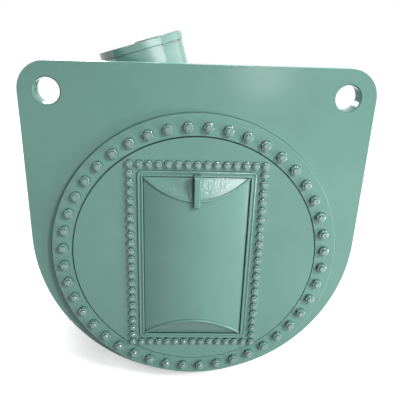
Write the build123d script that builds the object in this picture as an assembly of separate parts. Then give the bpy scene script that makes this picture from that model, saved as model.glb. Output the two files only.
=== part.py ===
from build123d import *
import math
import os

os.makedirs("parts", exist_ok=True)

# Shell and tube gas cooler, lying on two saddles. Millimetres, +Z up, front end towards -Y.
# Origin: on the floor, in the middle of the overall width and length.

# Driving dimensions
BOLT_CIRCLE = 570.0          # radius of the circle of cover studs
AXIS_HEIGHT = 700.0          # shell axis above the floor
SHELL_LENGTH = 2400.0        # clear length between the end plates

# End plates
PLATE_THICK = 75.0
PLATE_HALF = 1.238 * BOLT_CIRCLE
PLATE_TOP = 1.402 * BOLT_CIRCLE
REAR_PLATE_TOP = 1.110 * BOLT_CIRCLE
PLATE_ARC_Z = 0.122 * BOLT_CIRCLE
PLATE_CORNER = 0.200 * BOLT_CIRCLE
EYE_X = 1.038 * BOLT_CIRCLE
EYE_BELOW_TOP = 0.195 * BOLT_CIRCLE
EYE_RADIUS = 50.5
EYE_CHAMFER = 5.0

# Shell: three rolled courses, each a trough closed above by a narrower plate. The outer two carry the nozzles
SHELL_OUTER = 0.930 * BOLT_CIRCLE
SHELL_WALL = 12.0
SHELL_INNER = SHELL_OUTER - SHELL_WALL
TOP_SPREAD = 44.0
END_COURSE = 760.0

# Covers
RING_OUTER = 1.088 * BOLT_CIRCLE
RING_INNER = 0.936 * BOLT_CIRCLE
RING_THICK = 28.0
RING_CHAMFER = 3.0
GROOVE_WIDTH = 0.010 * BOLT_CIRCLE
GROOVE_DEPTH = 10.0
DISC_PROUD = 5.0

# Rectangle of the bundle header, above and below the shell axis
STUD_TOP = 0.733 * BOLT_CIRCLE
STUD_BOTTOM = -0.757 * BOLT_CIRCLE
HOOD_HALF_X = 0.393 * BOLT_CIRCLE
HOOD_TOP = 0.645 * BOLT_CIRCLE
HOOD_BOTTOM = -0.683 * BOLT_CIRCLE
HOOD_RISE = 42.0
HOOD_RUN = 0.165 * BOLT_CIRCLE
HOOD_SKIN = 10.0
FRAME_WIDTH = 23.0
FRAME_HEIGHT = 6.0
FRAME_CORNER = 18.0
FRAME_ROUND = 4.0
RIB_THICK = 28.0
RIB_REACH = 65.0
RIB_TOP = HOOD_TOP + 10.0
RIB_BOTTOM = 0.436 * BOLT_CIRCLE
RIB_ROUND = 6.0

# Bundle
TUBESHEET_HALF_X = 0.520 * BOLT_CIRCLE
TUBESHEET_MARGIN = 0.033 * BOLT_CIRCLE
TUBESHEET_THICK = 65.0
TUBESHEET_CORNER = 0.110 * BOLT_CIRCLE
TUBE_RADIUS = 30.0
TUBE_PITCH = 80.0
TUBE_COLUMNS = 5
TUBE_ROWS = 9
SIDE_SHEET_THICK = 8.0

# Gas nozzles
NOZZLE_LEAN = 16.1
NOZZLE_RADIUS = 0.314 * BOLT_CIRCLE
NOZZLE_WALL = 10.0
NOZZLE_RIM = 1.578 * BOLT_CIRCLE
NOZZLE_FROM_PLATE = 229.0
BAND_HEIGHT = 27.0
BAND_THICK = 4.0

# Rear header
HEADER_DEPTH = 200.0
HEADER_WALL = 12.0
HEADER_BACK = 20.0
WATER_RADIUS = 84.0
WATER_WALL = 7.0
WATER_REACH = 130.0
WATER_OFFSET = 0.340 * BOLT_CIRCLE
WATER_BAND_HEIGHT = 18.0

# Saddles
SADDLE_SPACING = 1300.0
SADDLE_HALF_X = 420.0
SADDLE_LENGTH = 240.0
SADDLE_BASE = 20.0
SADDLE_WEB = 16.0
SADDLE_PAD = 10.0
SADDLE_PAD_ANGLE = 120.0
SADDLE_RIB = 14.0
SADDLE_RIB_X = (400.0, 150.0)
ANCHOR_RADIUS = 13.0
ANCHOR_X = 340.0
ANCHOR_Y = 75.0

# Where the parts stand along the length
FRONT_REACH = RING_THICK + DISC_PROUD + RIB_REACH
REAR_REACH = RING_THICK + DISC_PROUD + HEADER_DEPTH + HEADER_BACK + WATER_REACH
MID_Y = (FRONT_REACH - REAR_REACH) / 2
PLATE_BACK = SHELL_LENGTH / 2
PLATE_FACE = PLATE_BACK + PLATE_THICK
DISC_FACE = PLATE_FACE + RING_THICK + DISC_PROUD
HEADER_END = DISC_FACE + HEADER_DEPTH
HEADER_MID_Z = (HOOD_TOP + HOOD_BOTTOM) / 2

FRONT = -1
REAR = 1


def save(name, shape):
    """Write one sub-part, moved from the shell axis to its place over the floor."""
    placed = Pos(0, MID_Y, AXIS_HEIGHT) * shape
    export_step(placed, f"parts/{name}.step")


def across(sketch, y_start, y_end):
    """Extrude a sketch drawn in X and Z along Y, from y_start to y_end."""
    low = min(y_start, y_end)
    plane = Plane(origin=(0, low, 0), x_dir=(1, 0, 0), z_dir=(0, -1, 0))
    return extrude(plane * sketch, amount=-abs(y_end - y_start))


def end_plate(end):
    """Thick upright plate, square shoulders with lifting eyes above and a round belly below."""
    top = PLATE_TOP if end == FRONT else REAR_PLATE_TOP
    box_height = top - PLATE_ARC_Z
    block = Pos(0, PLATE_ARC_Z + box_height / 2) * Rectangle(2 * PLATE_HALF, box_height)
    block = fillet(block.vertices().group_by(Axis.Y)[-1], PLATE_CORNER)
    belly = Circle(PLATE_HALF) & Pos(0, -PLATE_HALF) * Rectangle(2 * PLATE_HALF, 2 * PLATE_HALF)
    outline = block + Pos(0, PLATE_ARC_Z) * belly
    outline -= Circle(SHELL_OUTER)
    for side in (-1, 1):
        outline -= Pos(side * EYE_X, top - EYE_BELOW_TOP) * Circle(EYE_RADIUS)
    plate = across(outline, end * PLATE_BACK, end * PLATE_FACE)
    eye_edges = [
        edge for edge in plate.edges().filter_by(GeomType.CIRCLE)
        if abs(edge.radius - EYE_RADIUS) < 0.01
    ]
    return chamfer(eye_edges, EYE_CHAMFER)


def cover_ring(end):
    """Flat bolted ring that clamps the end cover to the end plate."""
    flat = Circle(RING_OUTER) - Circle(RING_INNER)
    ring = across(flat, end * PLATE_FACE, end * (PLATE_FACE + RING_THICK))
    rims = ring.edges().filter_by(GeomType.CIRCLE).sort_by(Axis.Y)
    face_rims = rims[:2] if end == FRONT else rims[-2:]
    outer_rim = [edge for edge in face_rims if edge.radius > RING_INNER + 1]
    return chamfer(outer_rim, RING_CHAMFER)


def cover_disc(end):
    """Round cover inside the ring, a little proud, with a turned groove round it and the header opening."""
    body = across(Circle(RING_INNER), end * PLATE_FACE, end * DISC_FACE)
    step = Circle(RING_INNER + 1) - Circle(RING_INNER - GROOVE_WIDTH)
    body -= across(step, end * (PLATE_FACE + RING_THICK - GROOVE_DEPTH), end * (DISC_FACE + 1))
    opening_height = HOOD_TOP - HOOD_BOTTOM - 2 * HEADER_WALL
    opening = Pos(0, HEADER_MID_Z) * Rectangle(2 * (HOOD_HALF_X - HEADER_WALL), opening_height)
    return body - across(opening, end * (PLATE_FACE - 1), end * (DISC_FACE + 1))


def header_frame(end):
    """Low rectangular moulding with a rounded outer edge, which the hood or the header box is welded into."""
    height = HOOD_TOP - HOOD_BOTTOM
    outer = RectangleRounded(2 * (HOOD_HALF_X + FRAME_WIDTH), height + 2 * FRAME_WIDTH, FRAME_CORNER)
    inner = Rectangle(2 * HOOD_HALF_X, height)
    face = end * (DISC_FACE + FRAME_HEIGHT)
    frame = across(Pos(0, HEADER_MID_Z) * (outer - inner), end * DISC_FACE, face)
    face_edges = frame.edges().filter_by_position(Axis.Y, face - 0.01, face + 0.01)
    outer_edges = [edge for edge in face_edges if abs(edge.center().X) > HOOD_HALF_X + 1
                   or edge.center().Z > HOOD_TOP + 1 or edge.center().Z < HOOD_BOTTOM - 1]
    return fillet(outer_edges, FRAME_ROUND)


def hood_block(shrink):
    """Half-round block of the hood, smaller all round by shrink, over its whole height."""
    half = HOOD_HALF_X
    radius = (half ** 2 + HOOD_RISE ** 2) / (2 * HOOD_RISE)
    centre_y = -(DISC_FACE + HOOD_RISE - radius)
    profile = Pos(0, centre_y) * Circle(radius - shrink)
    profile &= Pos(0, -(DISC_FACE + radius)) * Rectangle(4 * half, 2 * radius)
    column = extrude(Plane.XY.offset(HOOD_BOTTOM) * profile, amount=HOOD_TOP - HOOD_BOTTOM)
    return column


def hood_wedge(inset):
    """Everything between the two sloping end planes of the hood, moved inwards by inset."""
    far = DISC_FACE + 2 * HOOD_RISE
    slope = HOOD_RUN / HOOD_RISE
    lean = slope * (far - DISC_FACE)
    along = inset * math.hypot(1.0, slope)
    points = [
        (-DISC_FACE, HOOD_TOP - along),
        (-far, HOOD_TOP - along - lean),
        (-far, HOOD_BOTTOM + along + lean),
        (-DISC_FACE, HOOD_BOTTOM + along),
    ]
    profile = Plane.YZ * make_face(Polyline(points, close=True))
    return extrude(profile, amount=HOOD_HALF_X + 1, both=True)


def hood_skin():
    """Rolled plate of the return hood, bulging outwards, cut sloping at both ends."""
    return (hood_block(0) - hood_block(HOOD_SKIN)) & hood_wedge(0)


def hood_end(top):
    """Sloping flat plate that closes one end of the hood."""
    slab = (hood_block(HOOD_SKIN) & hood_wedge(0)) - hood_wedge(HOOD_SKIN)
    return slab.solids().sort_by(Axis.Z)[-1 if top else 0]


def hood_rib():
    """Upright plate on the centreline, over the hood's upper end and the frame."""
    height = RIB_TOP - RIB_BOTTOM
    centre = Pos(0, -(DISC_FACE + RIB_REACH / 2), RIB_BOTTOM + height / 2)
    plate = centre * Box(RIB_THICK, RIB_REACH, height)
    plate = fillet(plate.faces().sort_by(Axis.Y)[0].edges(), RIB_ROUND)
    plate -= hood_block(0) & hood_wedge(0)
    plate -= header_frame(FRONT)
    return plate.solids().sort_by(SortBy.VOLUME)[-1]


def nozzle_axis(end):
    """Frame on the shell axis whose Z runs out along a gas nozzle."""
    return Pos(0, end * (PLATE_BACK - NOZZLE_FROM_PLATE), 0) * Rot(0, -NOZZLE_LEAN, 0)


def gas_nozzle(end):
    """Stub of pipe set on the shell, leaning to the left of upright."""
    pipe = Pos(0, 0, NOZZLE_RIM / 2) * (
        Cylinder(NOZZLE_RADIUS, NOZZLE_RIM) - Cylinder(NOZZLE_RADIUS - NOZZLE_WALL, NOZZLE_RIM)
    )
    pipe = nozzle_axis(end) * pipe
    shell = Rot(90, 0, 0) * Cylinder(SHELL_OUTER, 2 * SHELL_LENGTH)
    return (pipe - shell).solids().sort_by(Axis.Z)[-1]


def nozzle_band(end):
    """Flat band shrunk round the end of a gas nozzle."""
    band = Cylinder(NOZZLE_RADIUS + BAND_THICK, BAND_HEIGHT) - Cylinder(NOZZLE_RADIUS, BAND_HEIGHT)
    return nozzle_axis(end) * Pos(0, 0, NOZZLE_RIM - BAND_HEIGHT / 2) * band


def rolled_strip(inner_radius, outer_radius, middle, spread):
    """Outline of a rolled plate seen from its end, spread degrees wide about the angle middle."""
    start = middle - spread / 2
    inner = CenterArc((0, 0), inner_radius, start, spread)
    outer = CenterArc((0, 0), outer_radius, start, spread)
    return make_face([inner, outer, Line(inner @ 0, outer @ 0), Line(inner @ 1, outer @ 1)])


def shell_trough(y_start, y_end):
    """Rolled plate that makes the bottom and sides of one course of the shell."""
    wall = rolled_strip(SHELL_INNER, SHELL_OUTER, NOZZLE_LEAN - 90, 360 - TOP_SPREAD)
    return across(wall, y_start, y_end)


def shell_top(y_start, y_end):
    """Rolled plate that closes a course above, centred on the lean of the nozzles."""
    wall = rolled_strip(SHELL_INNER, SHELL_OUTER, NOZZLE_LEAN + 90, TOP_SPREAD)
    return across(wall, y_start, y_end)


def nozzle_hole(end):
    """Round hole through the shell below a gas nozzle."""
    bore = Cylinder(NOZZLE_RADIUS - NOZZLE_WALL, SHELL_OUTER)
    return nozzle_axis(end) * Pos(0, 0, SHELL_OUTER) * bore


def tubesheet(end):
    """Rectangular plate behind the cover, which the tubes end in."""
    height = STUD_TOP - STUD_BOTTOM + 2 * TUBESHEET_MARGIN
    mid = (STUD_TOP + STUD_BOTTOM) / 2
    sheet = Pos(0, mid) * RectangleRounded(2 * TUBESHEET_HALF_X, height, TUBESHEET_CORNER)
    return across(sheet, end * (PLATE_FACE - TUBESHEET_THICK), end * PLATE_FACE)


def tube_rows(first, last):
    """Straight tubes of the bundle, row by row from the top."""
    length = 2 * (PLATE_FACE - TUBESHEET_THICK)
    tubes = []
    for row in range(first, last):
        z = HEADER_MID_Z + TUBE_PITCH * ((TUBE_ROWS - 1) / 2 - row)
        for column in range(TUBE_COLUMNS):
            x = TUBE_PITCH * (column - (TUBE_COLUMNS - 1) / 2)
            tubes.append(Pos(x, 0, z) * Rot(90, 0, 0) * Cylinder(TUBE_RADIUS, length))
    return Compound(tubes)


def side_sheet(side):
    """Plate along one side of the bundle, which keeps the gas in the tube rows."""
    x = side * (TUBE_PITCH * TUBE_COLUMNS / 2 + SIDE_SHEET_THICK / 2)
    length = 2 * (PLATE_FACE - TUBESHEET_THICK)
    return Pos(x, 0, HEADER_MID_Z) * Box(SIDE_SHEET_THICK, length, TUBE_PITCH * TUBE_ROWS)


def header_box():
    """Rectangular water box on the rear cover."""
    height = HOOD_TOP - HOOD_BOTTOM
    outer = Rectangle(2 * HOOD_HALF_X, height)
    inner = Rectangle(2 * (HOOD_HALF_X - HEADER_WALL), height - 2 * HEADER_WALL)
    return across(Pos(0, HEADER_MID_Z) * (outer - inner), DISC_FACE, HEADER_END)


def header_back():
    """Flat back of the water box, with the two pipe holes."""
    plate = Rectangle(2 * HOOD_HALF_X, HOOD_TOP - HOOD_BOTTOM)
    for side in (-1, 1):
        plate -= Pos(0, side * WATER_OFFSET) * Circle(WATER_RADIUS - WATER_WALL)
    return across(Pos(0, HEADER_MID_Z) * plate, HEADER_END, HEADER_END + HEADER_BACK)


def header_partition():
    """Level plate that parts the water going in from the water coming out."""
    width = 2 * (HOOD_HALF_X - HEADER_WALL)
    depth = HEADER_END - PLATE_FACE
    return Pos(0, PLATE_FACE + depth / 2, HEADER_MID_Z) * Box(width, depth, HEADER_WALL)


def water_pipe(side):
    """Stub of water pipe on the back of the water box."""
    ring = Circle(WATER_RADIUS) - Circle(WATER_RADIUS - WATER_WALL)
    start = HEADER_END + HEADER_BACK
    return across(Pos(0, HEADER_MID_Z + side * WATER_OFFSET) * ring, start, start + WATER_REACH)


def water_band(side):
    """Flat band round the end of a water pipe."""
    ring = Circle(WATER_RADIUS + BAND_THICK) - Circle(WATER_RADIUS)
    end = HEADER_END + HEADER_BACK + WATER_REACH
    return across(Pos(0, HEADER_MID_Z + side * WATER_OFFSET) * ring, end - WATER_BAND_HEIGHT, end)


def saddle_pad(y):
    """Curved pad between the shell and a saddle."""
    strip = rolled_strip(SHELL_OUTER, SHELL_OUTER + SADDLE_PAD, -90, SADDLE_PAD_ANGLE)
    return across(strip, y - SADDLE_LENGTH / 2, y + SADDLE_LENGTH / 2)


def saddle_base(y):
    """Flat foot of a saddle, with four anchor holes."""
    foot = Pos(0, y) * Rectangle(2 * SADDLE_HALF_X + 40, SADDLE_LENGTH)
    for x in (-ANCHOR_X, ANCHOR_X):
        for dy in (-ANCHOR_Y, ANCHOR_Y):
            foot -= Pos(x, y + dy) * Circle(ANCHOR_RADIUS)
    return extrude(Plane.XY.offset(-AXIS_HEIGHT) * foot, amount=SADDLE_BASE)


def under_pad():
    """Space below the curved pads, down to the saddle's foot."""
    height = AXIS_HEIGHT - SADDLE_BASE
    block = Pos(0, 0, -height / 2) * Box(2 * SADDLE_HALF_X, 2 * SHELL_LENGTH, height)
    return block - Rot(90, 0, 0) * Cylinder(SHELL_OUTER + SADDLE_PAD, 3 * SHELL_LENGTH)


def saddle_limit():
    """Height on the pad where the saddle's web ends."""
    return -(SHELL_OUTER + SADDLE_PAD) * math.cos(math.radians(SADDLE_PAD_ANGLE / 2 - 6))


def saddle_web(y):
    """Upright plate of a saddle, across the shell."""
    height = AXIS_HEIGHT - SADDLE_BASE + saddle_limit()
    centre = Pos(0, y, -AXIS_HEIGHT + SADDLE_BASE + height / 2)
    block = centre * Box(2 * SADDLE_HALF_X, SADDLE_WEB, height)
    return (block & under_pad()).solids().sort_by(SortBy.VOLUME)[-1]


def saddle_ribs(y):
    """Stiffeners on both sides of a saddle's web."""
    height = AXIS_HEIGHT - SADDLE_BASE + saddle_limit()
    depth = (SADDLE_LENGTH - SADDLE_WEB) / 2
    ribs = []
    for x in SADDLE_RIB_X:
        for side in (-1, 1):
            for face in (-1, 1):
                rib_y = y + face * (SADDLE_WEB + depth) / 2
                centre = Pos(side * x, rib_y, -AXIS_HEIGHT + SADDLE_BASE + height / 2)
                block = centre * Box(SADDLE_RIB, depth, height)
                ribs.append((block & under_pad()).solids().sort_by(Axis.Z)[0])
    return Compound(ribs)


JOINT_Y = PLATE_BACK - END_COURSE
save("shell_front_trough", shell_trough(-PLATE_FACE, -JOINT_Y))
save("shell_middle_trough", shell_trough(-JOINT_Y, JOINT_Y))
save("shell_rear_trough", shell_trough(JOINT_Y, PLATE_FACE))
save("shell_front_top", shell_top(-PLATE_FACE, -JOINT_Y) - nozzle_hole(FRONT))
save("shell_middle_top", shell_top(-JOINT_Y, JOINT_Y))
save("shell_rear_top", shell_top(JOINT_Y, PLATE_FACE) - nozzle_hole(REAR))

for name, end in (("front", FRONT), ("rear", REAR)):
    save(f"{name}_end_plate", end_plate(end))
    save(f"{name}_cover_ring", cover_ring(end))
    save(f"{name}_cover_disc", cover_disc(end))
    save(f"{name}_header_frame", header_frame(end))
    save(f"{name}_gas_nozzle", gas_nozzle(end))
    save(f"{name}_nozzle_band", nozzle_band(end))
    save(f"{name}_tubesheet", tubesheet(end))

save("hood_skin", hood_skin())
save("hood_top_end", hood_end(True))
save("hood_bottom_end", hood_end(False))
save("hood_rib", hood_rib())

save("tubes_upper", tube_rows(0, 3))
save("tubes_middle", tube_rows(3, 6))
save("tubes_lower", tube_rows(6, TUBE_ROWS))
save("bundle_left_sheet", side_sheet(-1))
save("bundle_right_sheet", side_sheet(1))

save("water_box", header_box())
save("water_box_back", header_back())
save("water_box_partition", header_partition())
for name, side in (("upper", 1), ("lower", -1)):
    save(f"{name}_water_pipe", water_pipe(side))
    save(f"{name}_water_band", water_band(side))

for name, y in (("front", -SADDLE_SPACING / 2), ("rear", SADDLE_SPACING / 2)):
    save(f"{name}_saddle_pad", saddle_pad(y))
    save(f"{name}_saddle_base", saddle_base(y))
    save(f"{name}_saddle_web", saddle_web(y))
    save(f"{name}_saddle_ribs", saddle_ribs(y))
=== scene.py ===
# A shell and tube gas cooler in sea-green enamel, standing on two saddles, seen from its bolted front end.
import math
import random

import bmesh
import bpy
from mathutils import Euler, Matrix, Vector


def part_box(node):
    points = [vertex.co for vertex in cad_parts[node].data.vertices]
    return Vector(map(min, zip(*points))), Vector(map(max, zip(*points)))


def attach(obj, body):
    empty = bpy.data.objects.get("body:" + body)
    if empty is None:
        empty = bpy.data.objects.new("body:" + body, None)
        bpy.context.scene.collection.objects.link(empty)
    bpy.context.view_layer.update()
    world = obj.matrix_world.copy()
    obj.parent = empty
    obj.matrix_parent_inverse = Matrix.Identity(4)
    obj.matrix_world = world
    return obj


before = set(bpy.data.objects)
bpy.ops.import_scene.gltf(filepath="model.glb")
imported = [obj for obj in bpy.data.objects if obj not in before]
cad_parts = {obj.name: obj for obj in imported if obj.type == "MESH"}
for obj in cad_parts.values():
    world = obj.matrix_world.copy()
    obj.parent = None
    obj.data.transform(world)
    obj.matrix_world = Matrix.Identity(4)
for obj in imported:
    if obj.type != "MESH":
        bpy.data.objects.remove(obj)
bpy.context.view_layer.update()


# Sea-green enamel
# Two-part enamel sprayed over primed steel. It dries to a hard gloss, and its colour drifts a little where
# the coats overlap. An ambient occlusion node darkens it in the corners and round the nuts and seams as
# painted shade. Its fine orange peel is drawn coarser than the real one, so that it shows.
def linear(hex_colour):
    """An sRGB hex colour as the linear values that a shader takes."""
    parts = [int(hex_colour[i:i + 2], 16) / 255 for i in (1, 3, 5)]
    return tuple(c / 12.92 if c <= 0.04045 else ((c + 0.055) / 1.055) ** 2.4 for c in parts) + (1.0,)


def node(tree, kind, settings=None, links=None):
    """Add one shader node, set its fields and its sockets, by name or number, and link earlier nodes in."""
    made = tree.nodes.new(kind)
    for name, value in (settings or {}).items():
        if isinstance(name, int) or name in made.inputs.keys():
            made.inputs[name].default_value = value
        else:
            setattr(made, name, value)
    for name, source in (links or {}).items():
        tree.links.new(source, made.inputs[name])
    return made


def blank_material(name):
    """A new material with an empty node tree and its object coordinates."""
    material = bpy.data.materials.new(name)
    material.use_nodes = True
    tree = material.node_tree
    tree.nodes.clear()
    place = node(tree, "ShaderNodeTexCoord")
    return material, tree, place.outputs["Object"]


MM = 0.001
ENAMEL_LIGHT = "#709C90"
ENAMEL_DARK = "#628B80"
# The nuts take the covers' enamel made a little darker, as painted shade.
NUT_SHADED_LIGHT = "#6B978A"
NUT_SHADED_DARK = "#5E877B"
ENAMEL_IOR = 1.5
ENAMEL_SHINE = 0.3
ENAMEL_PATCH = 300 * MM
GLOSS_DRIFT = 0.10
ORANGE_PEEL = 8 * MM
PEEL_DEPTH = 0.10 * MM
ROLLING_WAVE = 140 * MM
WAVE_DEPTH = 1.2 * MM
# How far and how deep the painted shade in the enamel's corners goes.
CORNER_REACH = 8 * MM
CORNER_RAYS = 8
CORNER_SHUT = 0.4
CORNER_OPEN = 0.85
CORNER_PAINTED_SHADE = 0.18
MIX_FROM_SOCKET = 6
MIX_TO_SOCKET = 7
MIX_OUTPUT = 2


def enamel(name, peel, wave, roughness, light=ENAMEL_LIGHT, dark=ENAMEL_DARK, shine=ENAMEL_SHINE):
    """Enamel with its orange peel and plate waviness scaled by peel and wave."""
    material, tree, place = blank_material(name)
    patch = node(tree, "ShaderNodeTexNoise", {"Scale": 1 / ENAMEL_PATCH, "Detail": 3.0}, {"Vector": place})
    tint = node(
        tree, "ShaderNodeMix",
        {"data_type": "RGBA", MIX_FROM_SOCKET: linear(dark), MIX_TO_SOCKET: linear(light)},
        {"Factor": patch.outputs["Fac"]},
    )
    # Ambient occlusion darkens the enamel near other surfaces: painted shade in the corners.
    corner = node(tree, "ShaderNodeAmbientOcclusion", {"Distance": CORNER_REACH, "samples": CORNER_RAYS})
    painted_shade = node(
        tree, "ShaderNodeMapRange",
        {"From Min": CORNER_SHUT, "From Max": CORNER_OPEN, "To Min": CORNER_PAINTED_SHADE, "To Max": 1.0},
        {"Value": corner.outputs["AO"]},
    )
    tint_and_painted_shade = node(
        tree, "ShaderNodeVectorMath", {"operation": "SCALE"},
        {0: tint.outputs[MIX_OUTPUT], "Scale": painted_shade.outputs["Result"]},
    )
    roll = node(tree, "ShaderNodeTexNoise", {"Scale": 1 / ROLLING_WAVE, "Detail": 1.0}, {"Vector": place})
    skin = node(tree, "ShaderNodeTexNoise", {"Scale": 1 / ORANGE_PEEL, "Detail": 1.0}, {"Vector": place})
    roll_bump = node(
        tree, "ShaderNodeBump", {"Strength": wave, "Distance": WAVE_DEPTH}, {"Height": roll.outputs["Fac"]},
    )
    peel_bump = node(
        tree, "ShaderNodeBump", {"Strength": peel, "Distance": PEEL_DEPTH},
        {"Height": skin.outputs["Fac"], "Normal": roll_bump.outputs["Normal"]},
    )
    rough = node(
        tree, "ShaderNodeMapRange", {"To Min": roughness, "To Max": roughness + GLOSS_DRIFT},
        {"Value": patch.outputs["Fac"]},
    )
    paint = node(
        tree, "ShaderNodeBsdfPrincipled", {"IOR": ENAMEL_IOR, "Specular IOR Level": shine},
        {
            "Base Color": tint_and_painted_shade.outputs["Vector"], "Roughness": rough.outputs["Result"],
            "Normal": peel_bump.outputs["Normal"],
        },
    )
    node(tree, "ShaderNodeOutputMaterial", {}, {"Surface": paint.outputs["BSDF"]})
    return material


plate_enamel = enamel("enamel_on_machined_plate", peel=0.8, wave=0.35, roughness=0.15)
rolled_enamel = enamel("enamel_on_rolled_plate", peel=0.8, wave=0.7, roughness=0.15)
hood_end_enamel = enamel("enamel_on_hood_ends", peel=6.0, wave=0.5, roughness=0.10)
nozzle_enamel = enamel("enamel_on_nozzles", peel=0.8, wave=0.8, roughness=0.10, shine=1.0)
# The nuts' enamel is darker than the covers' only as painted shade.
nut_enamel = enamel(
    "enamel_on_nuts", peel=0.3, wave=0.0, roughness=0.08, light=NUT_SHADED_LIGHT, dark=NUT_SHADED_DARK, shine=1.0,
)
weld_enamel = enamel("enamel_on_welds", peel=1.0, wave=0.0, roughness=0.26)


# Bare steel of the bundle
# Drawn tubes keep fine lengthwise streaks, and the sheets at their ends were ground across. Nobody paints
# either, so both are grey with a little brown of flash rust. The streaks are drawn coarser than real ones,
# so that they show.
STEEL_LIGHT = "#8E918D"
STEEL_RUST = "#7C6F61"
STREAK = 3 * MM
STREAK_STRETCH = 0.02
STREAK_BUMP = 0.5
STREAK_DEPTH = 0.1 * MM
STEEL_METALLIC = 0.9
RUST_STARTS = 0.45
RUST_FULL = 0.75
RUST_MOST = 0.7


def bare_steel(name, stretch_axis, roughness):
    """Steel with streaks drawn out along one axis and faint rust."""
    material, tree, place = blank_material(name)
    scale = [1.0, 1.0, 1.0]
    scale[stretch_axis] = STREAK_STRETCH
    drawn = node(tree, "ShaderNodeMapping", {"Scale": scale}, {"Vector": place})
    streak = node(
        tree, "ShaderNodeTexNoise", {"Scale": 1 / STREAK, "Detail": 2.0},
        {"Vector": drawn.outputs["Vector"]},
    )
    cloud = node(tree, "ShaderNodeTexNoise", {"Scale": 1 / ENAMEL_PATCH, "Detail": 6.0}, {"Vector": place})
    rust = node(
        tree, "ShaderNodeMapRange", {"From Min": RUST_STARTS, "From Max": RUST_FULL, "To Max": RUST_MOST},
        {"Value": cloud.outputs["Fac"]},
    )
    tint = node(
        tree, "ShaderNodeMix",
        {"data_type": "RGBA", MIX_FROM_SOCKET: linear(STEEL_LIGHT), MIX_TO_SOCKET: linear(STEEL_RUST)},
        {"Factor": rust.outputs["Result"]},
    )
    bump = node(
        tree, "ShaderNodeBump", {"Strength": STREAK_BUMP, "Distance": STREAK_DEPTH},
        {"Height": streak.outputs["Fac"]},
    )
    steel = node(
        tree, "ShaderNodeBsdfPrincipled", {"Metallic": STEEL_METALLIC, "Roughness": roughness},
        {"Base Color": tint.outputs[MIX_OUTPUT], "Normal": bump.outputs["Normal"]},
    )
    node(tree, "ShaderNodeOutputMaterial", {}, {"Surface": steel.outputs["BSDF"]})
    return material


tube_steel = bare_steel("drawn_steel_tube", stretch_axis=1, roughness=0.38)
sheet_steel = bare_steel("ground_steel_plate", stretch_axis=0, roughness=0.42)


# Bundle, shell and plates
# Steel plate, rolled for the shell, nozzles and hood and cut flat for the rest, round a bundle of tubes.
# Each part gets its finish, and the sharp edges of cut and machined plate get the small round, in
# millimetres, that grinding and paint leave on them.
ROLLED_PARTS = ("shell_", "hood_skin", "_gas_nozzle", "_saddle_pad", "_water_pipe")
EDGE_ROUND = {
    "_end_plate": 3.0, "_cover_ring": 2.0, "_cover_disc": 1.5, "_header_frame": 1.5, "hood_": 2.0,
    "water_box": 2.0, "_saddle_base": 2.0, "_saddle_web": 1.5, "_saddle_ribs": 1.5, "_saddle_pad": 1.5,
    "shell_": 1.5, "_gas_nozzle": 1.5, "_nozzle_band": 1.0, "_water_band": 1.0, "_water_pipe": 1.0,
}
BEVEL_ANGLE = 32.0

for name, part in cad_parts.items():
    if name.startswith("tubes"):
        finish = tube_steel
    elif "tubesheet" in name or name.startswith("bundle"):
        finish = sheet_steel
    elif name in ("hood_top_end", "hood_bottom_end"):
        finish = hood_end_enamel
    elif "gas_nozzle" in name or "nozzle_band" in name:
        finish = nozzle_enamel
    elif any(key in name for key in ROLLED_PARTS):
        finish = rolled_enamel
    else:
        finish = plate_enamel
    part.data.materials.clear()
    part.data.materials.append(finish)
    for key, width in EDGE_ROUND.items():
        if key in name:
            edge = part.modifiers.new("ground_edge", "BEVEL")
            edge.width = width * MM
            edge.segments = 2
            edge.limit_method = "ANGLE"
            edge.angle_limit = math.radians(BEVEL_ANGLE)
            edge.harden_normals = True
            break


# Weld beads
# Hand-laid fillets between the plates, painted over. A bead is a round strip whose thickness swells a
# little with each drop that the welder laid down, about a centimetre apart.
AXIS_HEIGHT = 700 * MM
BEAD_SIDES = 8
RIPPLE = 5 * MM
RIPPLE_DEPTH = 0.07
BEAD_WANDER = 0.06
BEAD_END = 0.4
STEEP = 0.9
FILLET_OUT = 0.3
SHARP_ANGLE = 34.0
CORNER_STEPS = 4


def finish_mesh(name, mesh, material):
    """Turn a bmesh into a piece of the fixed body."""
    bmesh.ops.recalc_face_normals(mesh, faces=mesh.faces)
    data = bpy.data.meshes.new(name)
    mesh.to_mesh(data)
    mesh.free()
    piece = bpy.data.objects.new(name, data)
    bpy.context.scene.collection.objects.link(piece)
    data.materials.append(material)
    data.shade_smooth()
    data.set_sharp_from_angle(angle=math.radians(SHARP_ANGLE))
    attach(piece, "root")


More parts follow.
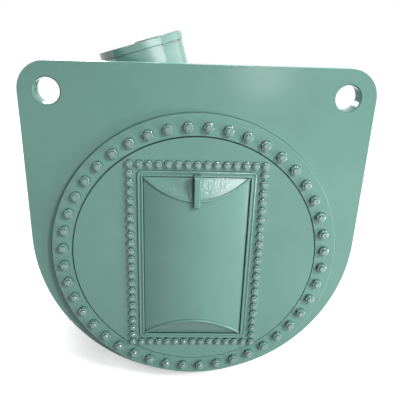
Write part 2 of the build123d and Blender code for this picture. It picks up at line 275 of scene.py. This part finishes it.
def bead(mesh, path, radius, closed=False):
    """Add a rippled round strip of the given radius along a path of evenly spaced points."""
    count = len(path)
    rings = []
    normal = None
    for i, point in enumerate(path):
        before = path[i - 1] if i or closed else point
        after = path[(i + 1) % count] if i < count - 1 or closed else point
        along = (after - before).normalized()
        if normal is None:
            guide = Vector((0, 0, 1)) if abs(along.z) < STEEP else Vector((0, 1, 0))
            normal = along.cross(guide).normalized()
        normal = (normal - along * normal.dot(along)).normalized()
        side = along.cross(normal)
        swell = 1 + RIPPLE_DEPTH * math.cos(math.pi * i) + random.uniform(-BEAD_WANDER, BEAD_WANDER)
        at_end = not closed and i in (0, count - 1)
        size = radius * (BEAD_END if at_end else swell)
        rings.append([
            mesh.verts.new(point + size * (math.cos(t) * normal + math.sin(t) * side))
            for t in (2 * math.pi * k / BEAD_SIDES for k in range(BEAD_SIDES))
        ])
    pairs = list(zip(rings, rings[1:]))
    if closed:
        turned = min(range(BEAD_SIDES), key=lambda k: (rings[0][k].co - rings[-1][0].co).length)
        pairs.append((rings[-1], rings[0][turned:] + rings[0][:turned]))
    for low, high in pairs:
        for k in range(BEAD_SIDES):
            j = (k + 1) % BEAD_SIDES
            mesh.faces.new((low[k], low[j], high[j], high[k]))
    if not closed:
        mesh.faces.new(rings[0])
        mesh.faces.new(rings[-1])


def stretch(start, end):
    """Evenly spaced points of a straight weld."""
    start, end = Vector(start), Vector(end)
    steps = max(2, round((end - start).length / RIPPLE))
    return [start.lerp(end, i / steps) for i in range(steps + 1)]


def round_path(y, radius, first=0.0, last=360.0, height=AXIS_HEIGHT):
    """Points round an axis along Y at the given height, angles in degrees from +X towards +Z."""
    steps = max(8, round(math.radians(last - first) * radius / RIPPLE))
    whole = last - first >= 360
    angles = [math.radians(first + (last - first) * i / steps) for i in range(steps + (0 if whole else 1))]
    return [Vector((radius * math.cos(a), y, height + radius * math.sin(a))) for a in angles]


def frame_path(y, half_x, bottom, top, corner):
    """Points round an upright rectangle with rounded corners, bottom and top counted from the shell axis."""
    turns = []
    for right, up, first in ((1, 1, 0), (-1, 1, 90), (-1, -1, 180), (1, -1, 270)):
        x = right * (half_x - corner)
        z = AXIS_HEIGHT + (top if up > 0 else bottom) - up * corner
        for i in range(CORNER_STEPS + 1):
            a = math.radians(first + 90 * i / CORNER_STEPS)
            turns.append(Vector((x + corner * math.cos(a), y, z + corner * math.sin(a))))
    path = []
    for start, end in zip(turns, turns[1:] + turns[:1]):
        path += stretch(start, end)[:-1]
    return path


# Return hood
# The rolled plate and its two sloping ends are welded together along their outer edges, which leaves a lip
# at both ends, and into the raised frame, whose outer edge is a half-round moulding. A rib is welded over
# the upper end. Places are given as shares of the bolt circle's radius.
BOLT_CIRCLE = 570 * MM
HOOD_HALF_X = 0.393 * BOLT_CIRCLE
HOOD_TOP = 0.645 * BOLT_CIRCLE
HOOD_BOTTOM = -0.683 * BOLT_CIRCLE
HOOD_RISE = 42 * MM
HOOD_RUN = 0.165 * BOLT_CIRCLE
FRAME_WIDTH = 23 * MM
FRAME_HEIGHT = 6 * MM
FRAME_CORNER = 18 * MM
EDGE_MOULD = 5 * MM
EDGE_MOULD_SUNK = 2 * MM
LIP_BEAD = 6.5 * MM
FRAME_BEAD = 4.5 * MM
FRAME_BEAD_OUT = 0.8 * FRAME_BEAD
RIB_BEAD = 5 * MM
RIB_BEAD_OUT = 0.4 * RIB_BEAD
RIB_HALF = 14 * MM
RIB_BOTTOM = 0.436 * BOLT_CIRCLE

disc_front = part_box("front_cover_disc")[0].y
hood_radius = (HOOD_HALF_X ** 2 + HOOD_RISE ** 2) / (2 * HOOD_RISE)


def hood_height(x):
    """Height of the rolled plate over the cover at a distance x from its centreline."""
    return math.sqrt(hood_radius ** 2 - x ** 2) - (hood_radius - HOOD_RISE)


def hood_end_point(x, rise, level, inwards):
    """Point on a sloping end of the hood at a height over the cover, for the end that starts at level."""
    z = level + inwards * HOOD_RUN * rise / HOOD_RISE
    return Vector((x, disc_front - rise, AXIS_HEIGHT + z))


random.seed(3)
mesh = bmesh.new()
steps = round(2 * HOOD_HALF_X / RIPPLE)
for level, inwards in ((HOOD_TOP, -1), (HOOD_BOTTOM, 1)):
    across = [HOOD_HALF_X * (2 * i / steps - 1) for i in range(steps + 1)]
    bead(mesh, [hood_end_point(x, hood_height(x), level, inwards) for x in across], LIP_BEAD)
rib_edge = RIB_HALF + RIB_BEAD_OUT
rib_rise = hood_height(rib_edge)
for x in (-rib_edge, rib_edge):
    foot = hood_end_point(x, FRAME_HEIGHT, HOOD_TOP, -1)
    brow = hood_end_point(x, rib_rise, HOOD_TOP, -1)
    toe = Vector((x, disc_front - rib_rise, AXIS_HEIGHT + RIB_BOTTOM))
    bead(mesh, stretch(foot, brow)[:-1] + stretch(brow, toe), RIB_BEAD)
bead(mesh, stretch((-rib_edge, toe.y, toe.z), toe), RIB_BEAD)
finish_mesh("hood_welds", mesh, weld_enamel)

mould_out = FRAME_WIDTH - EDGE_MOULD
for end, face, inwards in (
    ("front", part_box("front_header_frame")[0].y, 1), ("rear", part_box("rear_header_frame")[1].y, -1),
):
    mesh = bmesh.new()
    edge = frame_path(
        face + inwards * EDGE_MOULD_SUNK, HOOD_HALF_X + mould_out, HOOD_BOTTOM - mould_out,
        HOOD_TOP + mould_out, FRAME_CORNER - EDGE_MOULD,
    )
    bead(mesh, edge, EDGE_MOULD, closed=True)
    finish_mesh(f"{end}_frame_mould", mesh, rolled_enamel)
    mesh = bmesh.new()
    seam = frame_path(
        face, HOOD_HALF_X + FRAME_BEAD_OUT, HOOD_BOTTOM - FRAME_BEAD_OUT, HOOD_TOP + FRAME_BEAD_OUT,
        FRAME_BEAD,
    )
    bead(mesh, seam, FRAME_BEAD, closed=True)
    finish_mesh(f"{end}_frame_welds", mesh, weld_enamel)


# Shell and nozzle welds
# The shell's courses are butt welded from outside with low wide crowns. The end plates and the nozzles are
# fillet welded all round, and a thin run holds the lower edge of the band round each nozzle's mouth.
SHELL_OUTER = 0.930 * BOLT_CIRCLE
SEAM_BEAD = 9 * MM
SEAM_SUNK = 6 * MM
PLATE_BEAD = 8 * MM
TOP_SPREAD = 44
NOZZLE_LEAN = 16.1
NOZZLE_RADIUS = 0.314 * BOLT_CIRCLE
NOZZLE_RIM = 1.578 * BOLT_CIRCLE
BAND_HEIGHT = 27 * MM
NOZZLE_BEAD = 8 * MM
BAND_BEAD = 2.5 * MM


def nozzle_path(centre_y, radius, level=None):
    """Points round a gas nozzle at a level along it, or where it meets the shell."""
    lean = math.radians(NOZZLE_LEAN)
    outwards = Vector((-math.sin(lean), 0, math.cos(lean)))
    across = Vector((math.cos(lean), 0, math.sin(lean)))
    steps = round(2 * math.pi * radius / RIPPLE)
    path = []
    for i in range(steps):
        turn = 2 * math.pi * i / steps
        u = radius * math.cos(turn)
        rise = level if level else math.sqrt(SHELL_OUTER ** 2 - u ** 2)
        middle = Vector((0, centre_y + radius * math.sin(turn), AXIS_HEIGHT))
        path.append(middle + across * u + outwards * rise)
    return path


random.seed(7)
front_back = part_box("front_end_plate")[1].y
rear_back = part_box("rear_end_plate")[0].y
mesh = bmesh.new()
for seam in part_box("shell_middle_trough"):
    bead(mesh, round_path(seam.y, SHELL_OUTER - SEAM_SUNK), SEAM_BEAD, closed=True)
for side in (-1, 1):
    turn = math.radians(90 + NOZZLE_LEAN + side * TOP_SPREAD / 2)
    x = (SHELL_OUTER - SEAM_SUNK) * math.cos(turn)
    z = AXIS_HEIGHT + (SHELL_OUTER - SEAM_SUNK) * math.sin(turn)
    bead(mesh, stretch((x, front_back, z), (x, rear_back, z)), SEAM_BEAD)
finish_mesh("shell_seams", mesh, weld_enamel)

mesh = bmesh.new()
for y in (front_back, rear_back):
    bead(mesh, round_path(y, SHELL_OUTER + PLATE_BEAD * FILLET_OUT), PLATE_BEAD, closed=True)
for end in ("front", "rear"):
    low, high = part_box(f"{end}_gas_nozzle")
    middle = (low.y + high.y) / 2
    bead(mesh, nozzle_path(middle, NOZZLE_RADIUS + NOZZLE_BEAD * FILLET_OUT), NOZZLE_BEAD, closed=True)
    under_band = nozzle_path(middle, NOZZLE_RADIUS + BAND_BEAD, NOZZLE_RIM - BAND_HEIGHT)
    bead(mesh, under_band, BAND_BEAD, closed=True)
finish_mesh("shell_fillets", mesh, weld_enamel)


# Water box welds
# Four plates make the box, welded at the corners and to the back plate, and two stubs of pipe are set on
# the back with a fillet round each.
BOX_BEAD = 5 * MM
BOX_BEAD_SUNK = 0.6 * BOX_BEAD
PIPE_RADIUS = 84 * MM
PIPE_BAND_HEIGHT = 18 * MM
PIPE_BAND_BEAD_OUT = 0.6 * BAND_BEAD

random.seed(11)
box_low, box_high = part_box("water_box")
mesh = bmesh.new()
left, right = box_low.x + BOX_BEAD_SUNK, box_high.x - BOX_BEAD_SUNK
bottom, top = box_low.z + BOX_BEAD_SUNK, box_high.z - BOX_BEAD_SUNK
for x in (left, right):
    for z in (bottom, top):
        bead(mesh, stretch((x, box_low.y, z), (x, box_high.y, z)), BOX_BEAD)
back_seam = frame_path(box_high.y, right, bottom - AXIS_HEIGHT, top - AXIS_HEIGHT, BOX_BEAD)
bead(mesh, back_seam, BOX_BEAD, closed=True)
for level in ("upper", "lower"):
    low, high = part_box(f"{level}_water_pipe")
    height = (low.z + high.z) / 2
    bead(mesh, round_path(low.y, PIPE_RADIUS + BOX_BEAD * FILLET_OUT, height=height), BOX_BEAD, closed=True)
    under_band = round_path(high.y - PIPE_BAND_HEIGHT, PIPE_RADIUS + PIPE_BAND_BEAD_OUT, height=height)
    bead(mesh, under_band, BAND_BEAD, closed=True)
finish_mesh("water_box_welds", mesh, weld_enamel)


# Saddle welds
# Each curved pad is welded to the shell along all four edges, and the web and its stiffeners are welded on
# both sides to the foot, to the pad and to each other.
PAD_THICK = 10 * MM
PAD_RADIUS = SHELL_OUTER + PAD_THICK
PAD_ENDS = (210, 330)
WEB_ENDS = (219.5, 320.5)
WEB_REACH = 418 * MM
RIB_PLACES = (-400 * MM, -150 * MM, 150 * MM, 400 * MM)
RIB_HALF_THICK = 7 * MM
SADDLE_BEAD = 5 * MM
SADDLE_BEAD_OUT = 0.4 * SADDLE_BEAD

random.seed(13)
for end in ("front", "rear"):
    pad_low, pad_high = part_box(f"{end}_saddle_pad")
    web_low, web_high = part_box(f"{end}_saddle_web")
    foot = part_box(f"{end}_saddle_base")[1].z + SADDLE_BEAD_OUT
    mesh = bmesh.new()
    for y in (pad_low.y, pad_high.y):
        bead(mesh, round_path(y, SHELL_OUTER + SADDLE_BEAD_OUT, *PAD_ENDS), SADDLE_BEAD)
    for turn in PAD_ENDS:
        reach = SHELL_OUTER + SADDLE_BEAD_OUT
        x = reach * math.cos(math.radians(turn))
        z = AXIS_HEIGHT + reach * math.sin(math.radians(turn))
        bead(mesh, stretch((x, pad_low.y, z), (x, pad_high.y, z)), SADDLE_BEAD)
    sides = ((web_low.y - SADDLE_BEAD_OUT, pad_low.y), (web_high.y + SADDLE_BEAD_OUT, pad_high.y))
    for y, edge in sides:
        bead(mesh, round_path(y, PAD_RADIUS + SADDLE_BEAD_OUT, *WEB_ENDS), SADDLE_BEAD)
        bead(mesh, stretch((-WEB_REACH, y, foot), (WEB_REACH, y, foot)), SADDLE_BEAD)
        for rib in RIB_PLACES:
            for side in (-1, 1):
                x = rib + side * (RIB_HALF_THICK + SADDLE_BEAD_OUT)
                roof = AXIS_HEIGHT - math.sqrt((PAD_RADIUS + SADDLE_BEAD_OUT) ** 2 - x ** 2)
                bead(mesh, stretch((x, y, foot), (x, y, roof)), SADDLE_BEAD)
                bead(mesh, stretch((x, y, foot), (x, edge, foot)), SADDLE_BEAD)
                bead(mesh, stretch((x, y, roof), (x, edge, roof)), SADDLE_BEAD)
    finish_mesh(f"{end}_saddle_welds", mesh, weld_enamel)


# Studs and nuts
# Steel studs with hexagon nuts, painted over with the covers. Each nut is chamfered on its outer face and
# the stud's end stands a few threads proud of it. The ring's nuts are the larger ones.
NUT_STEPS = 6
NUT_CHAMFER_ANGLE = 30.0
NUT_FACE = 0.475
THREAD_MOUTH = 1.08
THREAD_SUNK = 0.94
STUD_STRAIGHT = 0.8
STUD_TIP = 0.86


def add_nut(mesh, across_flats, height, stud_radius, stud_reach, place):
    """A chamfered hexagon nut with its stud end, standing on the plane z = 0 of place."""
    face_radius = across_flats * NUT_FACE
    slope = math.tan(math.radians(NUT_CHAMFER_ANGLE))
    turns = [2 * math.pi * i / (6 * NUT_STEPS) for i in range(6 * NUT_STEPS)]
    flats = [across_flats / 2 / math.cos((t + math.pi / 6) % (math.pi / 3) - math.pi / 6) for t in turns]
    levels = [[(r, 0.0) for r in flats]]
    levels.append([(r, height - (r - face_radius) * slope) for r in flats])
    for radius, z in (
        (face_radius, height), (stud_radius * THREAD_MOUTH, height), (stud_radius, height * THREAD_SUNK),
        (stud_radius, height + stud_reach * STUD_STRAIGHT), (stud_radius * STUD_TIP, height + stud_reach),
    ):
        levels.append([(radius, z)] * len(turns))
    rings = []
    for level in levels:
        points = [Vector((r * math.cos(t), r * math.sin(t), z)) for t, (r, z) in zip(turns, level)]
        rings.append([mesh.verts.new(place @ point) for point in points])
    for low, high in zip(rings, rings[1:]):
        for i in range(len(turns)):
            j = (i + 1) % len(turns)
            mesh.faces.new((low[i], low[j], high[j], high[i]))
    mesh.faces.new(rings[-1])


def nut_places(end, spots, face_y):
    """Frames standing on a cover's face at the given X and Z, each nut turned at random."""
    facing = Matrix.Rotation(math.radians(90 if end == "front" else -90), 4, "X")
    places = []
    for x, z in spots:
        spin = Matrix.Rotation(random.uniform(0, math.pi / 3), 4, "Z")
        places.append(Matrix.Translation(Vector((x, face_y, AXIS_HEIGHT + z))) @ facing @ spin)
    return places


COVER_NUTS = 44
COVER_NUT_FLATS = 36 * MM
COVER_NUT_HEIGHT = 20 * MM
COVER_STUD_RADIUS = 12 * MM
COVER_STUD_REACH = 8 * MM
cover_turns = [2 * math.pi * (i + 0.5) / COVER_NUTS for i in range(COVER_NUTS)]
cover_spots = [(BOLT_CIRCLE * math.sin(t), BOLT_CIRCLE * math.cos(t)) for t in cover_turns]

HEADER_NUTS_ACROSS = 15
HEADER_NUTS_DOWN = 23
HEADER_NUT_FLATS = 27 * MM
HEADER_NUT_HEIGHT = 15 * MM
HEADER_STUD_RADIUS = 9 * MM
HEADER_STUD_REACH = 6 * MM
HEADER_HALF_X = 0.487 * BOLT_CIRCLE
HEADER_TOP = 0.733 * BOLT_CIRCLE
HEADER_BOTTOM = -0.757 * BOLT_CIRCLE
header_spots = []
for i in range(HEADER_NUTS_ACROSS):
    x = HEADER_HALF_X * (2 * i / (HEADER_NUTS_ACROSS - 1) - 1)
    header_spots += [(x, HEADER_TOP), (x, HEADER_BOTTOM)]
for i in range(1, HEADER_NUTS_DOWN - 1):
    z = HEADER_BOTTOM + (HEADER_TOP - HEADER_BOTTOM) * i / (HEADER_NUTS_DOWN - 1)
    header_spots += [(-HEADER_HALF_X, z), (HEADER_HALF_X, z)]

random.seed(44)
for end in ("front", "rear"):
    face = 0 if end == "front" else 1
    mesh = bmesh.new()
    for place in nut_places(end, cover_spots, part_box(f"{end}_cover_ring")[face].y):
        add_nut(mesh, COVER_NUT_FLATS, COVER_NUT_HEIGHT, COVER_STUD_RADIUS, COVER_STUD_REACH, place)
    finish_mesh(f"{end}_cover_nuts", mesh, nut_enamel)
    mesh = bmesh.new()
    for place in nut_places(end, header_spots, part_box(f"{end}_cover_disc")[face].y):
        add_nut(mesh, HEADER_NUT_FLATS, HEADER_NUT_HEIGHT, HEADER_STUD_RADIUS, HEADER_STUD_REACH, place)
    finish_mesh(f"{end}_header_nuts", mesh, nut_enamel)


# Studio
# A white floor that runs out of sight under a white surrounding. Most of the light comes from lamps up to
# the right, as in the photograph, and one lamp behind lights the rear end.
def seen_by_eye(tree, ray):
    """1 for the rays that show a background straight, in a mirror or through glass, and 0 for light."""
    straight = node(
        tree, "ShaderNodeMath", {"operation": "ADD"},
        {0: ray.outputs["Is Camera Ray"], 1: ray.outputs["Is Transmission Ray"]},
    )
    either = node(
        tree, "ShaderNodeMath", {"operation": "ADD", "use_clamp": True},
        {0: straight.outputs[0], 1: ray.outputs["Is Glossy Ray"]},
    )
    return either.outputs[0]


FLOOR_RADIUS = 400.0
FLOOR_SIDES = 96
FLOOR_CHALK = "#F4F4F4"
FLOOR_SHADE = "#606060"
GLOW_NEAR = 0.42
GLOW_FAR = 1.0
GLOW_START = 2.0
GLOW_REACH = 8.0
floor_mesh = bmesh.new()
bmesh.ops.create_circle(floor_mesh, cap_ends=True, segments=FLOOR_SIDES, radius=FLOOR_RADIUS)
floor_data = bpy.data.meshes.new("floor")
floor_mesh.to_mesh(floor_data)
floor_mesh.free()
floor = bpy.data.objects.new("floor", floor_data)
bpy.context.scene.collection.objects.link(floor)
white_floor, tree, place = blank_material("white_floor")
ray = node(tree, "ShaderNodeLightPath")
chalk = node(tree, "ShaderNodeBsdfDiffuse", {"Color": linear(FLOOR_CHALK)})
shade = node(tree, "ShaderNodeBsdfDiffuse", {"Color": linear(FLOOR_SHADE)})
away = node(tree, "ShaderNodeVectorMath", {"operation": "LENGTH"}, {0: place})
brighten = node(
    tree, "ShaderNodeMapRange",
    {"From Min": GLOW_START, "From Max": GLOW_REACH, "To Min": GLOW_NEAR, "To Max": GLOW_FAR},
    {"Value": away.outputs["Value"]},
)
glow = node(tree, "ShaderNodeEmission", {}, {"Strength": brighten.outputs["Result"]})
lit = node(tree, "ShaderNodeAddShader", {}, {0: chalk.outputs[0], 1: glow.outputs[0]})
seen = node(
    tree, "ShaderNodeMixShader", {},
    {"Fac": seen_by_eye(tree, ray), 1: shade.outputs[0], 2: lit.outputs[0]},
)
node(tree, "ShaderNodeOutputMaterial", {}, {"Surface": seen.outputs[0]})
floor_data.materials.append(white_floor)

SKY_LIGHT = 0.08
SKY_WHITE = "#FFFFFF"
world = bpy.data.worlds.new("studio")
bpy.context.scene.world = world
world.use_nodes = True
tree = world.node_tree
tree.nodes.clear()
ray = node(tree, "ShaderNodeLightPath")
dim = node(tree, "ShaderNodeBackground", {"Color": linear(SKY_WHITE), "Strength": SKY_LIGHT})
white = node(tree, "ShaderNodeBackground", {"Color": linear(SKY_WHITE), "Strength": 1.0})
both = node(
    tree, "ShaderNodeMixShader", {},
    {"Fac": seen_by_eye(tree, ray), 1: dim.outputs[0], 2: white.outputs[0]},
)
node(tree, "ShaderNodeOutputWorld", {}, {"Surface": both.outputs[0]})

ring_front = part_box("front_cover_ring")[0].y
cover_centre = Vector((0, ring_front, AXIS_HEIGHT))


def lamp(name, place, target, width, height, power):
    """A rectangular area lamp at a place and facing a target, both counted from the front cover's centre."""
    data = bpy.data.lights.new(name, "AREA")
    data.shape = "RECTANGLE"
    data.size = width
    data.size_y = height
    data.energy = power
    light = bpy.data.objects.new(name, data)
    light.location = cover_centre + Vector(place)
    light.rotation_euler = (Vector(target) - Vector(place)).to_track_quat("-Z", "Y").to_euler()
    bpy.context.scene.collection.objects.link(light)


lamp("key", (4.4, -5.0, 4.5), (0, 0, 0), 1.3, 1.3, 390)
lamp("window", (2.5, -3.9, 1.75), (-0.2, 0.3, 0.85), 5.6, 0.9, 75)
lamp("near", (2.3, -1.3, -0.3), (0.1, 0, -0.25), 0.6, 0.6, 27)
lamp("side", (3.0, 0.6, 0.8), (0, 0.6, 0.6), 3.6, 2.0, 30)
lamp("top", (0.3, 0.9, 3.0), (0, 0.6, 0.5), 1.5, 1.5, 130)
lamp("patch", (0.99, -4.44, 0.41), (0.25, 0, 0.76), 0.55, 0.2, 9)
lamp("spark", (0.70, -3.82, 2.73), (0.1, 0, 0.35), 0.35, 0.25, 34)
lamp("back", (-2.6, 7.4, 2.6), (0, 2.2, 0.0), 3.0, 2.0, 260)


# Camera
# The place, turn and lens that put the photograph's 116 nuts where they are, with the shift of its crop.
# The turn is in degrees, and the distance is counted from the middle of the nuts' height.
NUT_PLANE = 10 * MM
CAMERA_LEFT = 0.0932
CAMERA_OUT = 1.9833
CAMERA_UP = 0.9214
CAMERA_TURN = (66.621, -1.692, -2.049)
SENSOR_WIDTH = 36.0
LENS = 44.86
SHIFT = (0.0104, 0.1125)

camera_data = bpy.data.cameras.new("camera")
camera_data.sensor_width = SENSOR_WIDTH
camera_data.lens = LENS
camera_data.shift_x, camera_data.shift_y = SHIFT
camera = bpy.data.objects.new("camera", camera_data)
camera.location = (-CAMERA_LEFT, ring_front - NUT_PLANE - CAMERA_OUT, AXIS_HEIGHT + CAMERA_UP)
camera.rotation_euler = Euler([math.radians(angle) for angle in CAMERA_TURN])
bpy.context.scene.collection.objects.link(camera)
bpy.context.scene.camera = camera
bpy.context.scene.view_settings.view_transform = "Standard"
